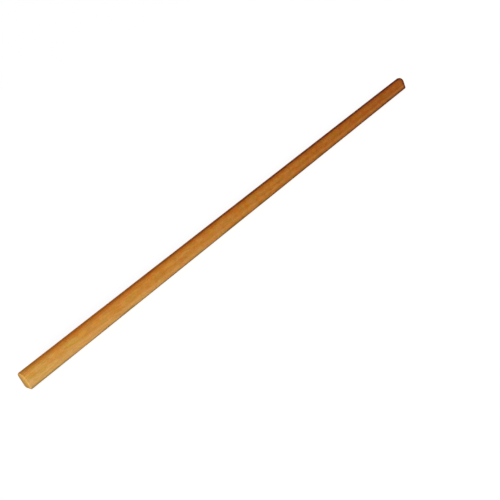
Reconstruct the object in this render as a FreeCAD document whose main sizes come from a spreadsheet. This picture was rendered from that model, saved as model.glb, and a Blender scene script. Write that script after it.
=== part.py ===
"""Timber stair handrail length: one moulded rail, flat underneath, upright sides and a rounded grip on top.

The rail lies along X and stands on its flat underside. The origin is the middle of that underside.
"""

import FreeCAD
import Part
import Sketcher

import os

# Driving dimensions in millimetres: the value and what it sets.
DIMENSIONS = {
    "rail_length": (2400, "end to end, the length the stock is sold in"),
    "rail_width": (50, "across the two upright sides"),
    "rail_height": (62, "underside to the top of the crown"),
    "crown_camber": (3, "rise of the crowned top above its two edges"),
    "shoulder_radius": (22, "round between the crown and each side, where the hand grips"),
    "base_edge_radius": (10, "round along each edge of the underside"),
    "end_edge_radius": (2.5, "sanded round about each end face"),
}

# Side walls end where the crown starts.
SIDE_HEIGHT = "(dimensions.rail_height - dimensions.crown_camber)"
# Radius of the arc that rises by the camber over the rail's width.
CROWN_RADIUS = "((dimensions.rail_width / 2)^2 + dimensions.crown_camber^2) / (2 * dimensions.crown_camber)"
# Two rounds share each wall, so one takes a little under half of it at most.
SHARE_OF_WALL = 0.49
# A sanded end is always tighter than the long rounds that run into it.
SHARE_OF_ROUND = 0.9


def make_dimension_sheet(doc):
    """Spreadsheet with one row for each driving dimension: its name, value and meaning."""
    sheet = doc.addObject("Spreadsheet::Sheet", "dimensions")
    for row, (name, (value, meaning)) in enumerate(DIMENSIONS.items(), start=1):
        sheet.set(f"A{row}", name)
        sheet.set(f"B{row}", str(value))
        sheet.set(f"C{row}", meaning)
        sheet.setAlias(f"B{row}", name)
    doc.recompute()
    return sheet


def origin_plane(body, role):
    """The body's own origin plane with this role."""
    return next(plane for plane in body.Origin.OriginFeatures if plane.Role == role)


def add_driven_constraint(sketch, name, expression, *constraint):
    """Adds a dimension to the sketch, names it and ties its value to the sheet."""
    index = sketch.addConstraint(Sketcher.Constraint(*constraint))
    sketch.renameConstraint(index, name)
    sketch.setExpression(f"Constraints.{name}", expression)


def sketch_section(body, sheet):
    """Square-edged section across the rail: underside, two sides and the crowned top.

    Sketch x is the rail's Y and sketch y is its Z.
    """
    half_width = sheet.rail_width / 2
    side_height = sheet.rail_height - sheet.crown_camber
    crown_radius = (half_width**2 + sheet.crown_camber**2) / (2 * sheet.crown_camber)
    left_foot = FreeCAD.Vector(-half_width, 0, 0)
    right_foot = FreeCAD.Vector(half_width, 0, 0)
    right_edge = FreeCAD.Vector(half_width, side_height, 0)
    crown_top = FreeCAD.Vector(0, sheet.rail_height, 0)
    left_edge = FreeCAD.Vector(-half_width, side_height, 0)

    sketch = body.newObject("Sketcher::SketchObject", "section")
    sketch.AttachmentSupport = (origin_plane(body, "YZ_Plane"), [""])
    sketch.MapMode = "FlatFace"

    underside = sketch.addGeometry(Part.LineSegment(left_foot, right_foot))
    right_side = sketch.addGeometry(Part.LineSegment(right_foot, right_edge))
    crown = sketch.addGeometry(Part.Arc(right_edge, crown_top, left_edge))
    left_side = sketch.addGeometry(Part.LineSegment(left_edge, left_foot))

    start, end = 1, 2
    origin_point = (-1, 1)
    joins = [
        ("Coincident", underside, end, right_side, start),
        ("Coincident", right_side, end, crown, start),
        ("Coincident", crown, end, left_side, start),
        ("Coincident", left_side, end, underside, start),
        ("Horizontal", underside),
        ("Vertical", right_side),
        ("Vertical", left_side),
        ("Equal", right_side, left_side),
        ("Symmetric", underside, start, underside, end, *origin_point),
    ]
    sketch.addConstraint([Sketcher.Constraint(*join) for join in joins])

    across = ("DistanceX", underside, start, underside, end, sheet.rail_width)
    upright = ("DistanceY", right_side, start, right_side, end, side_height)
    add_driven_constraint(sketch, "width", "dimensions.rail_width", *across)
    add_driven_constraint(sketch, "side_height", SIDE_HEIGHT, *upright)
    add_driven_constraint(sketch, "crown_radius", CROWN_RADIUS, "Radius", crown, crown_radius)
    return sketch


def extrude_section(body, sketch):
    """The section run out to the rail's length, half of it each way from the origin."""
    stock = body.newObject("PartDesign::Pad", "stock")
    stock.Profile = sketch
    stock.Midplane = True
    stock.setExpression("Length", "dimensions.rail_length")
    sketch.Visibility = False
    return stock


def limited(radius, *limits):
    """Expression for a radius that stays within its limits."""
    return f"min({'; '.join([radius, *limits])})"


def round_edges(doc, body, base, name, wanted, radius):
    """Fillet on those edges of the feature below it for which wanted(edge, middle) holds.

    The middle is that of the feature's box.
    """
    doc.recompute()
    middle = base.Shape.BoundBox.Center
    edges = enumerate(base.Shape.Edges, start=1)
    rounded = body.newObject("PartDesign::Fillet", name)
    rounded.Base = (base, [f"Edge{number}" for number, edge in edges if wanted(edge, middle)])
    rounded.setExpression("Radius", radius)
    return rounded


def runs_along_rail(edge):
    return edge.BoundBox.XLength > edge.BoundBox.YLength + edge.BoundBox.ZLength


def bounds_underside(edge, middle):
    return runs_along_rail(edge) and edge.BoundBox.Center.z < middle.z


def bounds_crown(edge, middle):
    return runs_along_rail(edge) and edge.BoundBox.Center.z > middle.z


def bounds_end_face(edge, middle):
    return not runs_along_rail(edge)


def build_handrail(doc, sheet):
    """The rail: square-edged stock, then its underside edges, shoulders and ends rounded in turn."""
    body = doc.addObject("PartDesign::Body", "handrail")
    body.Label = "handrail"
    stock = extrude_section(body, sketch_section(body, sheet))

    walls = [f"{SHARE_OF_WALL} * {wall}" for wall in ("dimensions.rail_width", SIDE_HEIGHT)]
    shoulder_radius = limited("dimensions.shoulder_radius", *walls)
    base_edge_radius = limited("dimensions.base_edge_radius", *walls)
    long_rounds = [f"{SHARE_OF_ROUND} * {radius}" for radius in (shoulder_radius, base_edge_radius)]
    end_edge_radius = limited("dimensions.end_edge_radius", *long_rounds)

    base_edges = round_edges(doc, body, stock, "base_edges", bounds_underside, base_edge_radius)
    shoulders = round_edges(doc, body, base_edges, "shoulders", bounds_crown, shoulder_radius)
    round_edges(doc, body, shoulders, "sanded_ends", bounds_end_face, end_edge_radius)
    body.Placement = FreeCAD.Placement()
    return body


def check_document(doc, sub_parts):
    """Stops the build if any feature failed or a sub-part isn't one sound solid."""
    doc.recompute()
    failed = [item.Name for item in doc.Objects if {"Invalid", "Error"} & set(item.State)]
    if failed:
        raise RuntimeError(f"features failed: {failed}")
    for sub_part in sub_parts:
        shape = sub_part.Shape
        if shape.isNull() or not shape.isValid() or len(shape.Solids) != 1:
            raise RuntimeError(f"{sub_part.Label} is not one sound solid")


def write_parts(sub_parts):
    """One STEP file for each sub-part, named by its label."""
    os.makedirs("parts", exist_ok=True)
    for sub_part in sub_parts:
        shape = sub_part.Shape
        shape.exportStep(f"parts/{sub_part.Label}.step")
        box = shape.optimalBoundingBox(True, False)
        size = f"{box.XLength:.1f} x {box.YLength:.1f} x {box.ZLength:.1f} mm"
        print(f"{sub_part.Label}: {size}, {shape.Volume / 1e6:.3f} litres")


def main():
    doc = FreeCAD.newDocument("stair_handrail")
    sheet = make_dimension_sheet(doc)
    sub_parts = [build_handrail(doc, sheet)]
    check_document(doc, sub_parts)
    write_parts(sub_parts)


main()
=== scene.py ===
# %% [markdown]
# A handrail length is one long stick of timber: planed to a section that a hand can close round, cut
# square at both ends, sanded and lacquered. This lesson dresses the plain solid of such a rail. The solid
# arrives as a fixed frame in metres, lying on its underside along X, and the piece made here stands
# exactly in its place. The near end is the one at low X, and the front is the side at low Y.

# %% Load the fixed frame
import math

import bpy
import numpy as np
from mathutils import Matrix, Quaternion, Vector


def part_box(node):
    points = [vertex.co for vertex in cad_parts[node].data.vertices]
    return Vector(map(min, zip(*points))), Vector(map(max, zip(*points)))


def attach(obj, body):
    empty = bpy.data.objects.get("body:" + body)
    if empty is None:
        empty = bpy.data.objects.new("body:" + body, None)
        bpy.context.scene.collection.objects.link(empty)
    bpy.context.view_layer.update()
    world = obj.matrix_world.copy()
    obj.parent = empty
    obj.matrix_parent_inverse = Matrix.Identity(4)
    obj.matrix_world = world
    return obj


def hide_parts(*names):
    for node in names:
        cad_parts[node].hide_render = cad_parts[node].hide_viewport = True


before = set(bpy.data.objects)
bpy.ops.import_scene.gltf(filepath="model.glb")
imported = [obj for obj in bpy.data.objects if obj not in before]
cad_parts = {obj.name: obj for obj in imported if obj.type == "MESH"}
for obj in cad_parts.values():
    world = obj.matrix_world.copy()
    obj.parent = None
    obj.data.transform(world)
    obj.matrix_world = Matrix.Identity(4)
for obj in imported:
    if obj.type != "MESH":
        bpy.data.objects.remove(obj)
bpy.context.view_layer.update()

rail_low, rail_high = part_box("handrail")
rail_length, rail_width, rail_height = rail_high - rail_low
print(f"frame: rail {rail_length:.4f} x {rail_width:.4f} x {rail_height:.4f} m")

# %% [markdown]
# The section is what makes a rail a handrail: flat below so that it sits on its brackets, upright at the
# sides, and a crown on top that runs into two round shoulders. It could be drawn as a curve and extruded.
# Here it is worked out as five arcs, because an arc also gives the outward normal at each of its points,
# and the normals are needed later to ease the ends and to carve the grain.

# %% The rail's section as an outline with normals
crown_camber = 0.003
shoulder_radius = 0.022
base_edge_radius = 0.010
section_points = 192


def rail_section(points, arc_steps=64):
    """Closed outline of the section and its outward normals, each an array of (Y, Z) rows.

    A point of an arc is its centre plus its radius times (cos a, sin a), and (cos a, sin a) is its normal.
    The flats are the gaps between one arc and the next. Points spaced evenly by length round the whole
    loop fill both arcs and flats.
    """
    half_width = rail_width / 2
    quarter_turn = math.pi / 2
    crown_radius = (half_width**2 + crown_camber**2) / (2 * crown_camber)
    crown_z = rail_height - crown_radius
    shoulder_y = half_width - shoulder_radius
    shoulder_rise = math.sqrt((crown_radius - shoulder_radius) ** 2 - shoulder_y**2)
    shoulder_z = crown_z + shoulder_rise
    meeting_angle = math.atan2(shoulder_rise, shoulder_y)
    foot_y = half_width - base_edge_radius
    arcs = np.array(
        [
            (foot_y, base_edge_radius, base_edge_radius, -quarter_turn, 0),
            (shoulder_y, shoulder_z, shoulder_radius, 0, meeting_angle),
            (0, crown_z, crown_radius, meeting_angle, math.pi - meeting_angle),
            (-shoulder_y, shoulder_z, shoulder_radius, math.pi - meeting_angle, math.pi),
            (-foot_y, base_edge_radius, base_edge_radius, math.pi, math.pi + quarter_turn),
        ]
    )
    centre, radius, first, last = arcs[:, None, :2], arcs[:, None, 2:3], arcs[:, 3], arcs[:, 4]
    angle = np.linspace(first, last, arc_steps, axis=1)
    normal = np.stack([np.cos(angle), np.sin(angle)], axis=-1)
    loop = np.concatenate([centre + radius * normal, normal], axis=-1).reshape(-1, 4)
    loop = np.vstack([loop, loop[:1]])
    walked = np.concatenate([[0], np.cumsum(np.linalg.norm(np.diff(loop[:, :2], axis=0), axis=1))])
    even = np.linspace(0, walked[-1], points, endpoint=False)
    spaced = np.stack([np.interp(even, walked, column) for column in loop.T], axis=1)
    return spaced[:, :2], spaced[:, 2:]


section, section_normal = rail_section(section_points)
print(f"section: {section_points} points, {section[:, 1].max() * 1000:.2f} mm high")

# %% [markdown]
# Carrying the section along X gives the rail. At each end a joiner sands the sharp edge round. A Bevel
# modifier could do that too. Here the round is the same section shrunk along its own normals while X runs
# out to the end face, so one rule makes the long sides, both sanded edges and, with the outline drawn in
# to its middle, both end faces.

# %% The rail as a grid of rings
end_edge_radius = 0.0025
long_steps = 420
easing_steps = 8
end_face_rings = 6


def rail_rings():
    """X of each ring, how far it is drawn in along the normals, and its scale about the section's middle.

    Along the sides the ring isn't drawn in. Round an end, at angle a from the side, X is short of the end
    by r (1 - sin a) and the ring is drawn in by r (1 - cos a). On the end face X stays, and the scale
    falls to 0.
    """
    half_length = rail_length / 2
    turn = np.linspace(0, math.pi / 2, easing_steps + 1)[1:]
    eased_x = half_length - end_edge_radius * (1 - np.sin(turn))
    eased_in = end_edge_radius * (1 - np.cos(turn))
    side_x = np.linspace(end_edge_radius - half_length, half_length - end_edge_radius, long_steps)
    face_scale = np.linspace(1, 0, end_face_rings + 1)[1:]
    face_x = np.full(end_face_rings, half_length)
    face_in = np.full(end_face_rings, end_edge_radius)
    end_x = np.concatenate([eased_x, face_x])
    end_in = np.concatenate([eased_in, face_in])
    end_scale = np.concatenate([np.ones(easing_steps), face_scale])
    along = np.concatenate([-end_x[::-1], side_x, end_x])
    drawn_in = np.concatenate([end_in[::-1], np.zeros(long_steps), end_in])
    scale = np.concatenate([end_scale[::-1], np.ones(long_steps), end_scale])
    return along, drawn_in, scale


ring_x, ring_in, ring_scale = rail_rings()
print(f"rings: {len(ring_x)} from {ring_x[0]:.3f} to {ring_x[-1]:.3f} m")

# %% [markdown]
# Timber is a bundle of growth rings about the pith of the tree. The sawyer cut this rail from beside the
# pith, so the pith runs along above and behind it, swaying a little. The distance from the pith says which
# year's ring a point belongs to. A texture could draw the rings alone. Worked out here, once, that number
# gives both the raised grain on the mesh and the colour of the finish, so that the two always agree.

# %% Growth rings: distance from the pith
pith_place = np.array([0.060, 0.120])
pith_sway = np.array([0.0018, 0.0012])
sway_length = np.array([1.70, 1.05])
sway_start = np.array([0.4, 1.9])
ring_spacing = 0.0028


def growth_radius(x, yz):
    """Distance of each point from the swaying pith, in metres.

    The pith's Y and Z are its mean place plus a sine of X. The distance is the length of (Y, Z) measured
    from there.
    """
    pith = pith_place + pith_sway * np.sin(2 * np.pi * x[..., None] / sway_length + sway_start)
    return np.linalg.norm(yz - pith, axis=-1)


section_middle = np.array([0, rail_height / 2])
eased_yz = section - ring_in[:, None, None] * section_normal
ring_yz = section_middle + ring_scale[:, None, None] * (eased_yz - section_middle)
grid_x = np.broadcast_to(ring_x[:, None], ring_yz.shape[:2])
growth = growth_radius(grid_x, ring_yz)
print(f"growth rings: {growth.min() * 1000:.0f} to {growth.max() * 1000:.0f} mm from the pith")

# %% [markdown]
# Planed timber isn't quite flat. The hard late wood of each ring stands a few hundredths of a millimetre
# proud of the soft early wood, and sanding by hand leaves long shallow waves. A displacement modifier
# could do this. Here the rings are simply drawn in a little further, only ever inwards, so the rail never
# outgrows its frame.

# %% Raised grain and sanding waves
grain_depth = 0.00007
sanding_depth = 0.00012
sanding_length = 0.31
sanding_twist = 2


def relief_depth(x, radius):
    """How far each point is drawn in: the early wood's hollow plus the sanding wave.

    The hollow is a raised cosine of the ring count. The wave is a raised sine of X that turns with the
    section.
    """
    hollow = 0.5 + 0.5 * np.cos(2 * np.pi * radius / ring_spacing)
    round_section = 2 * np.pi * sanding_twist * np.arange(section_points) / section_points
    wave = 0.5 + 0.5 * np.sin(2 * np.pi * x / sanding_length + round_section)
    return grain_depth * hollow + sanding_depth * wave


on_the_sides = (ring_in == 0)[:, None, None]
relief = relief_depth(grid_x, growth)[..., None]
carved_yz = ring_yz - on_the_sides * relief * section_normal
print(f"relief: up to {relief.max() * 1000:.3f} mm deep")

# %% [markdown]
# The grid becomes a mesh by joining each ring to the next with four-sided faces, in an order that points
# them outwards. The first and last ring have shrunk to a point, so each is a single vertex with a fan of
# triangles. Faces could be added one by one, but whole arrays of vertex numbers are quicker. Each vertex
# keeps its growth radius as an attribute, for the finish to read.

# %% The rail's mesh
rail_body = "root"


def ring_faces(rings, points):
    """Faces between neighbouring rings, and fans from the two poles, as arrays of vertex numbers.

    Vertex 0 is the first pole, then come the rings one after another, and the last is the other pole.
    """
    corner = 1 + np.arange(rings * points).reshape(rings, points)
    beside = np.roll(corner, -1, axis=1)
    quads = np.stack([corner[:-1], beside[:-1], beside[1:], corner[1:]], axis=-1).reshape(-1, 4)
    last_pole = 1 + rings * points
    first_fan = np.stack([np.zeros(points, int), beside[0], corner[0]], axis=-1)
    last_fan = np.stack([np.full(points, last_pole), corner[-1], beside[-1]], axis=-1)
    return quads, np.vstack([first_fan, last_fan])


def one_row_each(grid):
    """Rows of the mesh from a grid of rings, with the first and last ring taken as one row each."""
    flat = grid.reshape(len(grid) * section_points, -1)
    return np.vstack([flat[:1], flat[section_points:-section_points], flat[-1:]])


def make_rail():
    """One closed mesh of rings and poles: X from the grid, Y and Z from the carved section."""
    vertices = one_row_each(np.dstack([grid_x, carved_yz]))
    quads, fans = ring_faces(len(ring_x) - 2, section_points)
    mesh = bpy.data.meshes.new("handrail_timber")
    mesh.from_pydata(vertices.tolist(), [], quads.tolist() + fans.tolist())
    mesh.polygons.foreach_set("use_smooth", np.ones(len(mesh.polygons), bool))
    kept = mesh.attributes.new("growth", "FLOAT", "POINT")
    kept.data.foreach_set("value", one_row_each(growth).ravel().astype(np.float32))
    mesh.update()
    rail = bpy.data.objects.new("handrail_timber", mesh)
    bpy.context.scene.collection.objects.link(rail)
    return rail


rail = make_rail()
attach(rail, rail_body)
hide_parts("handrail")
triangles = sum(len(face.vertices) - 2 for face in rail.data.polygons)
print(f"mesh: {len(rail.data.vertices)} vertices, {triangles} triangles")

# %% [markdown]
# The finish is built from shader nodes. They could be placed by hand in the editor. Short helpers that add
# a node and fill its inputs let each later cell read like a list of what is on the timber. An input is
# either a plain value or the output of another node.

# %% Helpers for shader nodes
# A Mix node has sockets of the same name for each kind of value, so those for colours go by number
mix_factor, mix_a, mix_b, mix_result = 0, 6, 7, 2


def add_node(tree, kind, inputs=None, **settings):
    """Adds one node to the tree, with its settings, and sets or links its inputs by name or number."""
    made = tree.nodes.new(kind)
    for name, value in settings.items():
        setattr(made, name, value)
    for name, value in (inputs or {}).items():
        if isinstance(value, bpy.types.NodeSocket):
            tree.links.new(value, made.inputs[name])
        else:
            made.inputs[name].default_value = value
    return made


def math_of(tree, operation, first, second=0.0):
    """The result of one sum on two values."""
    return add_node(tree, "ShaderNodeMath", {0: first, 1: second}, operation=operation).outputs[0]


def smooth_step(tree, value, start, stop, low=0.0, high=1.0):
    """A number eased from low to high as the value runs from start to stop."""
    limits = {"Value": value, "From Min": start, "From Max": stop, "To Min": low, "To Max": high}
    made = add_node(tree, "ShaderNodeMapRange", limits, interpolation_type="SMOOTHSTEP")
    return made.outputs["Result"]


def mix_colour(tree, share, under, over, blend="MIX"):
    """Colour over laid on colour under, by a share."""
    inputs = {mix_factor: share, mix_a: under, mix_b: over}
    made = add_node(tree, "ShaderNodeMix", inputs, data_type="RGBA", blend_type=blend)
    return made.outputs[mix_result]


def open_group(name, numbers_in, numbers_out, vectors_in=()):
    """A new shader node group with named sockets, and the sockets of its input and output nodes."""
    group = bpy.data.node_groups.new(name, "ShaderNodeTree")
    for label in vectors_in:
        group.interface.new_socket(name=label, in_out="INPUT", socket_type="NodeSocketVector")
    for label in numbers_in:
        group.interface.new_socket(name=label, in_out="INPUT", socket_type="NodeSocketFloat")
    for label in numbers_out:
        group.interface.new_socket(name=label, in_out="OUTPUT", socket_type="NodeSocketFloat")
    return group, group.nodes.new("NodeGroupInput").outputs, group.nodes.new("NodeGroupOutput").inputs


print("helpers: add_node, math_of, smooth_step, mix_colour, open_group")

# %% [markdown]
# Fibres, pores, rays and cloudy patches of tone are all the same thing at different sizes: spots drawn out
# along the rail. Each could have nodes of its own, but they share one node group. It stretches the place
# of a point by a count of cells per metre along and across the rail, reads a noise there, and keeps the
# part of the noise between two levels.

# %% Node group: streaks along the grain
def make_streaks():
    """Noise at (X along, Y across, Z across), passed through a smooth step from one level to another."""
    numbers_in = ["Along", "Across", "Detail", "From", "To"]
    group, given, result = open_group("grain_streaks", numbers_in, ["Mask"], vectors_in=["Place"])
    cells = {"X": given["Along"], "Y": given["Across"], "Z": given["Across"]}
    stretch = add_node(group, "ShaderNodeCombineXYZ", cells).outputs[0]
    both = {0: given["Place"], 1: stretch}
    stretched = add_node(group, "ShaderNodeVectorMath", both, operation="MULTIPLY").outputs[0]
    reading = {"Vector": stretched, "Scale": 1.0, "Detail": given["Detail"]}
    noise = add_node(group, "ShaderNodeTexNoise", reading).outputs["Fac"]
    group.links.new(smooth_step(group, noise, given["From"], given["To"]), result["Mask"])
    return group


streaks_group = make_streaks()
print(f"group {streaks_group.name}: {len(streaks_group.nodes)} nodes")

# %% [markdown]
# A growth ring starts with soft pale early wood and ends with a narrow band of hard dark late wood. A Wave
# texture could draw such rings, but it knows nothing of the grain on the mesh. This group counts rings
# from the growth radius that the mesh keeps, bends the count a little with a wobble, and gives the late
# wood as a mask. Each ring also gets a tone of its own, because summers leave paler or darker years.

# %% Node group: growth rings
late_wood_starts = 0.45
late_wood_peaks = 0.86
late_wood_ends = 1.0


def make_growth_rings():
    """Ring count is radius over spacing plus wobble.

    Its fraction rises and falls to give the late wood. Its whole part picks the tone of the year.
    """
    numbers_in = ["Radius", "Spacing", "Wobble"]
    group, given, result = open_group("growth_rings", numbers_in, ["Late Wood", "Year Tone"])
    even_count = math_of(group, "DIVIDE", given["Radius"], given["Spacing"])
    count = math_of(group, "ADD", even_count, given["Wobble"])
    part = math_of(group, "FRACT", count)
    rising = smooth_step(group, part, late_wood_starts, late_wood_peaks)
    falling = smooth_step(group, part, late_wood_peaks, late_wood_ends, low=1.0, high=0.0)
    whole = {"W": math_of(group, "FLOOR", count)}
    year = add_node(group, "ShaderNodeTexWhiteNoise", whole, noise_dimensions="1D").outputs["Value"]
    group.links.new(math_of(group, "MULTIPLY", rising, falling), result["Late Wood"])
    group.links.new(year, result["Year Tone"])
    return group


rings_group = make_growth_rings()
print(f"group {rings_group.name}: {len(rings_group.nodes)} nodes")

# %% [markdown]
# The timber's material starts with what every later cell reads: the place of a point on the rail, its
# share of the length, and its distance from the pith. Places are Object coordinates, so the grain stays in
# the timber wherever the rail goes. An image of wood could be wrapped on instead, but it would show a seam
# at each edge, while these patterns run right through the timber and come out on the end faces.

# %% The timber's material and what it reads
origin_share = 0.5

timber = bpy.data.materials.new("lacquered_timber")
timber.use_nodes = True
wood = timber.node_tree
rail.data.materials.append(timber)
place = add_node(wood, "ShaderNodeTexCoord").outputs["Object"]
axes = add_node(wood, "ShaderNodeSeparateXYZ", {0: place}).outputs
radius = add_node(wood, "ShaderNodeAttribute", attribute_name="growth").outputs["Fac"]
run = math_of(wood, "ADD", math_of(wood, "DIVIDE", axes["X"], rail_length), origin_share)


def streaks(along, across, detail, start, stop):
    """A mask of streaks: cells per metre along and across the rail, between two levels of the noise."""
    inputs = {"Place": place, "Along": along, "Across": across, "Detail": detail, "From": start, "To": stop}
    return add_node(wood, "ShaderNodeGroup", inputs, node_tree=streaks_group).outputs["Mask"]


def share_of(mask, most):
    """The mask scaled, so that its full places reach the most."""
    return math_of(wood, "MULTIPLY", mask, most)


def tinted(colour, tint, share):
    """The colour multiplied by a tint, by a share."""
    return mix_colour(wood, share, colour, tint, "MULTIPLY")


print(f"material {timber.name}: started on {rail.name}")

# %% [markdown]
# This rail is honey at its near end and deepens to amber at the far one, with broad clouds where the
# change comes sooner or later. Light that falls away could give the same look in one picture. Here the
# tones are set in the colour along the length, so they hold in any light. A colour ramp has them, and it
# is read at the share of the length, moved a little by the clouds.

# %% Tone along the rail
honey = (0.662, 0.368, 0.095, 1)
gold = (0.622, 0.286, 0.0615, 1)
amber = (0.417, 0.139, 0.0205, 1)
deep_amber = (0.338, 0.0935, 0.0182, 1)
tones_along = [(0.0, honey), (0.12, gold), (0.65, amber), (1.0, deep_amber)]
cloud_shift = 0.10
mask_middle = 0.5


def tone_at(share, stops):
    """Colour read from a row of stops, each a place from 0 to 1 and a colour."""
    made = add_node(wood, "ShaderNodeValToRGB", {"Fac": share})
    elements = made.color_ramp.elements
    while len(elements) < len(stops):
        elements.new(1.0)
    for element, (position, colour) in zip(elements, stops):
        element.position = position
        element.color = colour
    return made.outputs["Color"]


def swing_of(mask, most):
    """The mask turned into a swing about 0, of half the most either way."""
    return share_of(math_of(wood, "SUBTRACT", mask, mask_middle), most)


cloud = streaks(along=5.0, across=38.0, detail=2.0, start=0.25, stop=0.75)
colour = tone_at(math_of(wood, "ADD", run, swing_of(cloud, cloud_shift)), tones_along)
print(f"tone: {len(tones_along)} stops from honey to deep amber")

# %% [markdown]
# Within that tone the grain dips and rises, so the timber drinks its finish unevenly: patches about a
# finger wide come out orange, others olive or yellow, and more so towards the amber end. One noise with a
# ramp of colours could do it, but its colours would always lie in the same order. Three masks overlap
# freely. Rays, thin ribbons that run outwards through a log, show as small pale flecks.

# %% Orange, olive and yellow patches, and ray flecks
orange_tint = (1.0, 0.80, 0.64, 1)
olive_tint = (0.87, 0.97, 0.88, 1)
yellow_tint = (1.0, 1.0, 0.56, 1)
patches_near, patches_far, patches_full = 0.55, 1.1, 0.6
ray_tones = [(0.0, (0.74, 0.39, 0.11, 1)), (1.0, (0.43, 0.165, 0.036, 1))]
ray_share = 0.26


def eased_along(near, far, until):
    """A number eased from its near value at the near end to its far one at a share of the length."""
    return smooth_step(wood, run, 0.0, until, near, far)


patch_share = eased_along(patches_near, patches_far, patches_full)
orange = streaks(along=42.0, across=62.0, detail=1.0, start=0.46, stop=0.64)
olive = streaks(along=34.0, across=54.0, detail=1.0, start=0.46, stop=0.64)
yellow = streaks(along=46.0, across=70.0, detail=1.0, start=0.46, stop=0.62)
ray = streaks(along=150.0, across=520.0, detail=0.0, start=0.52, stop=0.68)
colour = tinted(colour, orange_tint, share_of(orange, patch_share))
colour = tinted(colour, olive_tint, share_of(olive, patch_share))
colour = tinted(colour, yellow_tint, share_of(yellow, patch_share))
colour = mix_colour(wood, share_of(ray, ray_share), colour, tone_at(run, ray_tones))
print("patches: orange, olive, yellow and ray flecks")

# %% [markdown]
# Wood near the pith is the oldest and darkest, and the last years under the bark are pale sapwood. The
# pith lies above and behind this rail, so its crown and back are darkest and its lower front is palest.
# That darker crown and back is partly heartwood and partly painted shade. The sapwood shows at the near
# end and fades out by half way. Beyond that a pale band still runs low on the front. All three could be
# painted on by hand. As steps of the growth radius they run through the timber and agree with its rings.

# %% Heartwood and painted shade, sapwood and a pale band
heart_and_shade_tints = [
    (0.0, (1.0, 0.74, 0.49, 1)),
    (0.06, (1.0, 0.67, 0.39, 1)),
    (0.5, (0.98, 0.78, 0.57, 1)),
]
heart_and_shade_full, heart_and_shade_edge = 0.090, 0.113
sapwood = (0.67, 0.43, 0.152, 1)
sapwood_edge, sapwood_full = 0.122, 0.131
sapwood_near, sapwood_far = 0.50, 0.03
pale_band_tones = [(0.0, (0.86, 0.375, 0.105, 1)), (1.0, (0.48, 0.21, 0.059, 1))]
pale_band_radius, pale_band_half_width = 0.130, 0.006
pale_band_near, pale_band_far = 0.16, 0.28
half_way = 0.5

heart_and_shade = smooth_step(wood, radius, heart_and_shade_full, heart_and_shade_edge, low=1.0, high=0.0)
sap = smooth_step(wood, radius, sapwood_edge, sapwood_full)
sap_share = share_of(sap, eased_along(sapwood_near, sapwood_far, half_way))
off_pale_band = math_of(wood, "ABSOLUTE", math_of(wood, "SUBTRACT", radius, pale_band_radius))
in_pale_band = smooth_step(wood, off_pale_band, pale_band_half_width, 0.0)
pale_share = share_of(in_pale_band, eased_along(pale_band_near, pale_band_far, half_way))
# Darker crown and back: partly heartwood, partly painted shade
colour = tinted(colour, tone_at(run, heart_and_shade_tints), heart_and_shade)
colour = mix_colour(wood, sap_share, colour, sapwood)
# A pale band low along the front, at a narrow step of the growth radius
colour = mix_colour(wood, pale_share, colour, tone_at(run, pale_band_tones))
print(f"heartwood to {heart_and_shade_edge * 1000:.0f} mm from the pith, sapwood from {sapwood_edge * 1000:.0f} mm")

# %% [markdown]
# Now the fine figure: the dark late wood of each ring, bundles of fibres about three millimetres wide, and
# pores, the cut-open vessels of a hardwood, as short dark dashes. As modelled grooves they would need
# millions of faces, so here they are tints. A ring's strength follows its own tone.

# %% Rings, fibres and pores
late_wood_tint = (0.84, 0.74, 0.60, 1)
fibre_tint = (0.88, 0.82, 0.72, 1)
pore_tint = (0.42, 0.30, 0.22, 1)
weakest_ring, ring_range = 0.35, 0.60
fibre_share = 0.9
pore_share = 0.6

wobble = streaks(along=7.0, across=60.0, detail=2.0, start=0.2, stop=0.8)
counted = {"Radius": radius, "Spacing": ring_spacing, "Wobble": wobble}
ring = add_node(wood, "ShaderNodeGroup", counted, node_tree=rings_group).outputs
late_wood = ring["Late Wood"]
ring_strength = math_of(wood, "ADD", share_of(ring["Year Tone"], ring_range), weakest_ring)
fibre = streaks(along=26.0, across=330.0, detail=4.0, start=0.36, stop=0.66)
pore = streaks(along=120.0, across=2300.0, detail=1.0, start=0.60, stop=0.70)
colour = tinted(colour, late_wood_tint, share_of(late_wood, ring_strength))
colour = tinted(colour, fibre_tint, share_of(fibre, fibre_share))
colour = tinted(colour, pore_tint, share_of(pore, pore_share))
print(f"figure: a ring every {ring_spacing * 1000:.1f} mm")

# %% [markdown]
# The very top of the crown is darkened with painted shade, and two darker lines of painted shade run
# along the lower edges. Both could be painted as vertex colours. Here they are steps of the height, with
# an edge that a noise makes uneven, so they follow the rail at any length. Both grow wider and deeper
# towards the amber end.

# %% Painted shade on the crown and along the lower edges
crown_shade_tints = [
    (0.0, (1.0, 1.0, 0.78, 1)),
    (0.2, (0.82, 0.75, 0.46, 1)),
    (0.45, (0.58, 0.41, 0.22, 1)),
    (1.0, (0.43, 0.26, 0.14, 1)),
]
lower_edge_shade_tints = [
    (0.0, (0.72, 0.76, 0.70, 1)),
    (0.5, (0.54, 0.59, 0.54, 1)),
    (1.0, (0.43, 0.43, 0.42, 1)),
]
crown_shade_from, crown_shade_full = rail_height - 0.0020, rail_height - 0.0001
lower_edge_shade_from, lower_edge_shade_full = 0.0095, 0.0042
crown_shade_widening, lower_edge_shade_widening = 0.0009, 0.005
crown_shade_sway, lower_edge_shade_sway = 0.0008, 0.006

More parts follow.
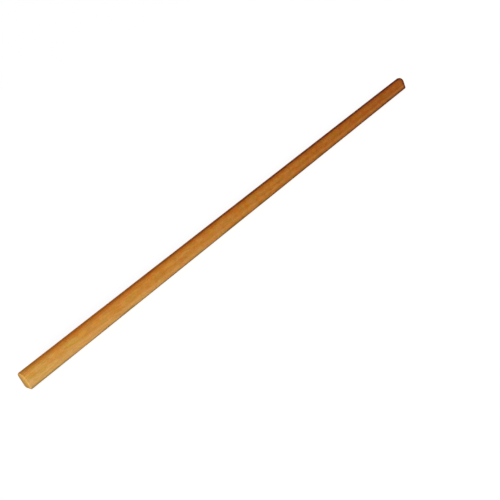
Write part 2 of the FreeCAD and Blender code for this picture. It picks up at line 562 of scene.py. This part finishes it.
uneven = streaks(along=14.0, across=70.0, detail=2.0, start=0.2, stop=0.8)
raised = math_of(wood, "ADD", axes["Z"], share_of(run, crown_shade_widening))
lowered = math_of(wood, "SUBTRACT", axes["Z"], share_of(run, lower_edge_shade_widening))
crown_shade_height = math_of(wood, "ADD", raised, swing_of(uneven, crown_shade_sway))
lower_edge_shade_height = math_of(wood, "ADD", lowered, swing_of(uneven, lower_edge_shade_sway))
crown_shade = smooth_step(wood, crown_shade_height, crown_shade_from, crown_shade_full)
lower_edge_shade = smooth_step(wood, lower_edge_shade_height, lower_edge_shade_from, lower_edge_shade_full)
# Painted shade along the top of the crown
colour = tinted(colour, tone_at(run, crown_shade_tints), crown_shade)
# Painted shade along the two lower edges
colour = tinted(colour, tone_at(run, lower_edge_shade_tints), lower_edge_shade)
print(f"patina from {crown_shade_from * 1000:.1f} mm up, run-off below {lower_edge_shade_from * 1000:.1f} mm")

# %% [markdown]
# An end face cuts the same fibres across, so the streaks show there as dots without any work. A second
# material on the end faces could give them their tone, but it would stop at a hard line. A step of the
# distance from the end fades in over the sanded edge. End grain is yellow at the honey end, and the last
# of the sides is a little paler there. At the amber end the end grain comes out dark, partly because it
# drinks more finish and partly as painted shade, and a band of painted shade reaches a finger's width into
# the sides too. Painted shade also darkens each end face towards the back and the bottom.

# %% End grain, and painted shade at the ends
end_grain_and_shade_tones = [(0.0, (0.81, 0.458, 0.120, 1)), (1.0, (0.20, 0.059, 0.0067, 1))]
end_grain_share = 0.8
end_grain_reach = 0.0010
end_band_and_shade_tints = [(0.0, (1.02, 1.04, 1.24, 1)), (1.0, (0.50, 0.47, 0.44, 1))]
end_band_reach, end_band_full = 0.024, 0.009
end_face_shade_tint = (0.62, 0.61, 0.53, 1)
back_and_down = (0.0, 0.95, -0.3)
end_face_shade_start, end_face_shade_full = -0.026, 0.006

from_end = math_of(wood, "SUBTRACT", rail_length / 2, math_of(wood, "ABSOLUTE", axes["X"]))
cut_across = smooth_step(wood, from_end, end_grain_reach, 0.0)
# A band along the sides at each end: paler at the near end, painted shade at the far end
end_band_and_shade = smooth_step(wood, from_end, end_band_reach, end_band_full)
colour = tinted(colour, tone_at(run, end_band_and_shade_tints), end_band_and_shade)
# End grain tone: dark at the far end, partly end grain and partly painted shade
end_grain_and_shade = tinted(tone_at(run, end_grain_and_shade_tones), pore_tint, share_of(pore, pore_share))
colour = mix_colour(wood, share_of(cut_across, end_grain_share), colour, end_grain_and_shade)
# Painted shade on each end face, darker towards the back and the bottom
leaning = {0: place, 1: back_and_down}
lean = add_node(wood, "ShaderNodeVectorMath", leaning, operation="DOT_PRODUCT").outputs["Value"]
end_face_shade = share_of(cut_across, smooth_step(wood, lean, end_face_shade_start, end_face_shade_full))
colour = tinted(colour, end_face_shade_tint, end_face_shade)
lacquer = wood.nodes["Principled BSDF"].inputs
wood.links.new(colour, lacquer["Base Color"])
print(f"end grain: over the last {end_grain_reach * 1000:.1f} mm, soaked to {end_band_reach * 1000:.0f} mm")

# %% [markdown]
# The lacquer is matt: it has soaked in and leaves the pores open, so the sheen is low and uneven. A clear
# coat would suit a thick glossy lacquer, but here a change of roughness is enough. Hands have polished the
# crown, and pores and end grain are duller. The late wood stands a little proud and the pores and fibres
# lie a little deep, which a bump gives at a scale too fine for the mesh.

# %% Sheen and fine relief
lacquer_roughness = 0.62
lacquer_specular = 0.01
polish_start, polish_full = 0.046, 0.060
hand_polish, pore_dulling, end_dulling = -0.10, 0.14, 0.12
late_wood_gloss, cloud_gloss = -0.05, -0.05
pore_depth, fibre_depth = 0.7, 0.3
relief_strength, relief_height = 0.35, 0.0003

polished = smooth_step(wood, axes["Z"], polish_start, polish_full)
sheen_changes = [
    (polished, hand_polish),
    (pore, pore_dulling),
    (cut_across, end_dulling),
    (late_wood, late_wood_gloss),
    (cloud, cloud_gloss),
]
roughness = lacquer_roughness
for mask, change in sheen_changes:
    roughness = math_of(wood, "ADD", share_of(mask, change), roughness)
sunk = math_of(wood, "ADD", share_of(pore, pore_depth), share_of(fibre, fibre_depth))
height = math_of(wood, "SUBTRACT", late_wood, sunk)
fine_relief = {"Strength": relief_strength, "Distance": relief_height, "Height": height}
bump = add_node(wood, "ShaderNodeBump", fine_relief)
lacquer["Specular IOR Level"].default_value = lacquer_specular
wood.links.new(roughness, lacquer["Roughness"])
wood.links.new(bump.outputs["Normal"], lacquer["Normal"])
print(f"material {timber.name}: {len(wood.nodes)} nodes")

# %% [markdown]
# The rail lies on a white floor under plain studio light. More light could make a floor white, but it
# would wash out the timber. So the floor is grey paint that takes the rail's shadow, and to the camera, and
# in reflections, it also glows just enough to reach the white of the background. Floor and background run
# together while the shadow stays.

# %% White floor and background
floor_half_size = 40.0
floor_paint = (0.42, 0.42, 0.42, 1)
floor_roughness = 0.9
floor_glow = 0.802
ambient_light = 0.25
white = (1, 1, 1, 1)


def seen_directly(tree):
    """1 for a camera, glossy or transmission ray, and 0 for light on its way to the rail."""
    path = add_node(tree, "ShaderNodeLightPath").outputs
    mirrored = math_of(tree, "MAXIMUM", path["Is Glossy Ray"], path["Is Transmission Ray"])
    return math_of(tree, "MAXIMUM", path["Is Camera Ray"], mirrored)


def make_floor():
    """One square at the height of the rail's underside, with an even glow where it is seen directly."""
    corner = np.array([(-1, -1), (1, -1), (1, 1), (-1, 1)]) * floor_half_size
    level = np.full(len(corner), rail_low.z)
    mesh = bpy.data.meshes.new("floor")
    mesh.from_pydata(np.column_stack([corner, level]).tolist(), [], [(0, 1, 2, 3)])
    floor = bpy.data.objects.new("floor", mesh)
    bpy.context.scene.collection.objects.link(floor)
    material = bpy.data.materials.new("white_floor")
    material.use_nodes = True
    mesh.materials.append(material)
    tree = material.node_tree
    paint = tree.nodes["Principled BSDF"].inputs
    paint["Base Color"].default_value = floor_paint
    paint["Roughness"].default_value = floor_roughness
    paint["Specular IOR Level"].default_value = 0.0
    paint["Emission Color"].default_value = white
    glow = math_of(tree, "MULTIPLY", seen_directly(tree), floor_glow)
    tree.links.new(glow, paint["Emission Strength"])
    return floor


def make_background():
    """White where it is seen, and a plain grey light from all round everywhere else."""
    world = bpy.data.worlds.new("studio")
    world.use_nodes = True
    tree = world.node_tree
    strength = math_of(tree, "MULTIPLY", seen_directly(tree), 1.0 - ambient_light)
    background = tree.nodes["Background"].inputs
    background["Color"].default_value = white
    tree.links.new(math_of(tree, "ADD", strength, ambient_light), background["Strength"])
    bpy.context.scene.world = world


make_floor()
make_background()
print(f"stage: floor glow {floor_glow}, ambient light {ambient_light}")

# %% [markdown]
# Two wide lamps light the rail. Area lamps close by would be brighter at one end, so these are sun lamps,
# which are as strong at one end as at the other, and soft because of their wide angle. The key lamp shines
# low, from the front and past the near end. It lights the front and the near end about equally, catches
# the sanded edge between them and leaves the crown, which faces up, darker. A weaker lamp from behind keeps
# the back from sinking into shadow, and leaves no glint.

# %% Two soft lamps
key_from = Vector((-3.1, -3.8, 1.15))
key_strength = 3.36
key_angle = math.radians(17)
back_from = Vector((3.9, 4.6, 0.47))
back_strength = 1.5
back_angle = math.radians(9)


def make_lamp(name, shines_from, strength, angle, glints):
    """A sun lamp: light from one direction, as wide as its angle, of a strength in watts a square metre."""
    light = bpy.data.lights.new(name, "SUN")
    light.energy = strength
    light.angle = angle
    lamp = bpy.data.objects.new(name, light)
    lamp.location = shines_from
    lamp.rotation_mode = "QUATERNION"
    lamp.rotation_quaternion = (-shines_from).to_track_quat("-Z", "Y")
    lamp.visible_glossy = glints
    bpy.context.scene.collection.objects.link(lamp)
    print(f"{name}: {strength:.2f} W a square metre, {math.degrees(angle):.0f} degrees wide")


make_lamp("key_lamp", key_from, key_strength, key_angle, glints=True)
make_lamp("back_lamp", back_from, back_strength, back_angle, glints=False)

# %% [markdown]
# The camera stands beyond the near end, a little above the rail. The rail could be tilted to climb across
# the picture, but then it would leave its frame. So it lies level, and the camera is rolled to one side.

# %% Camera
camera_place = Vector((-1.7431, -1.9978, 0.8687))
camera_aim = Vector((-0.3770, -0.2692, 0.0))
camera_roll = math.radians(-24.44)
camera_lens = 47.90
sensor_width = 36.0


def make_camera():
    """Looks from its place to its aim, then rolls about that line."""
    data = bpy.data.cameras.new("camera")
    data.sensor_width = sensor_width
    data.lens = camera_lens
    camera = bpy.data.objects.new("camera", data)
    sight = camera_aim - camera_place
    roll = Quaternion(sight.normalized(), -camera_roll)
    camera.location = camera_place
    camera.rotation_mode = "QUATERNION"
    camera.rotation_quaternion = roll @ sight.to_track_quat("-Z", "Y")
    bpy.context.scene.collection.objects.link(camera)
    return camera


bpy.context.scene.camera = make_camera()
bpy.context.scene.view_settings.view_transform = "Standard"
print(f"camera: {camera_lens:.1f} mm lens, {(camera_aim - camera_place).length:.2f} m from its aim")
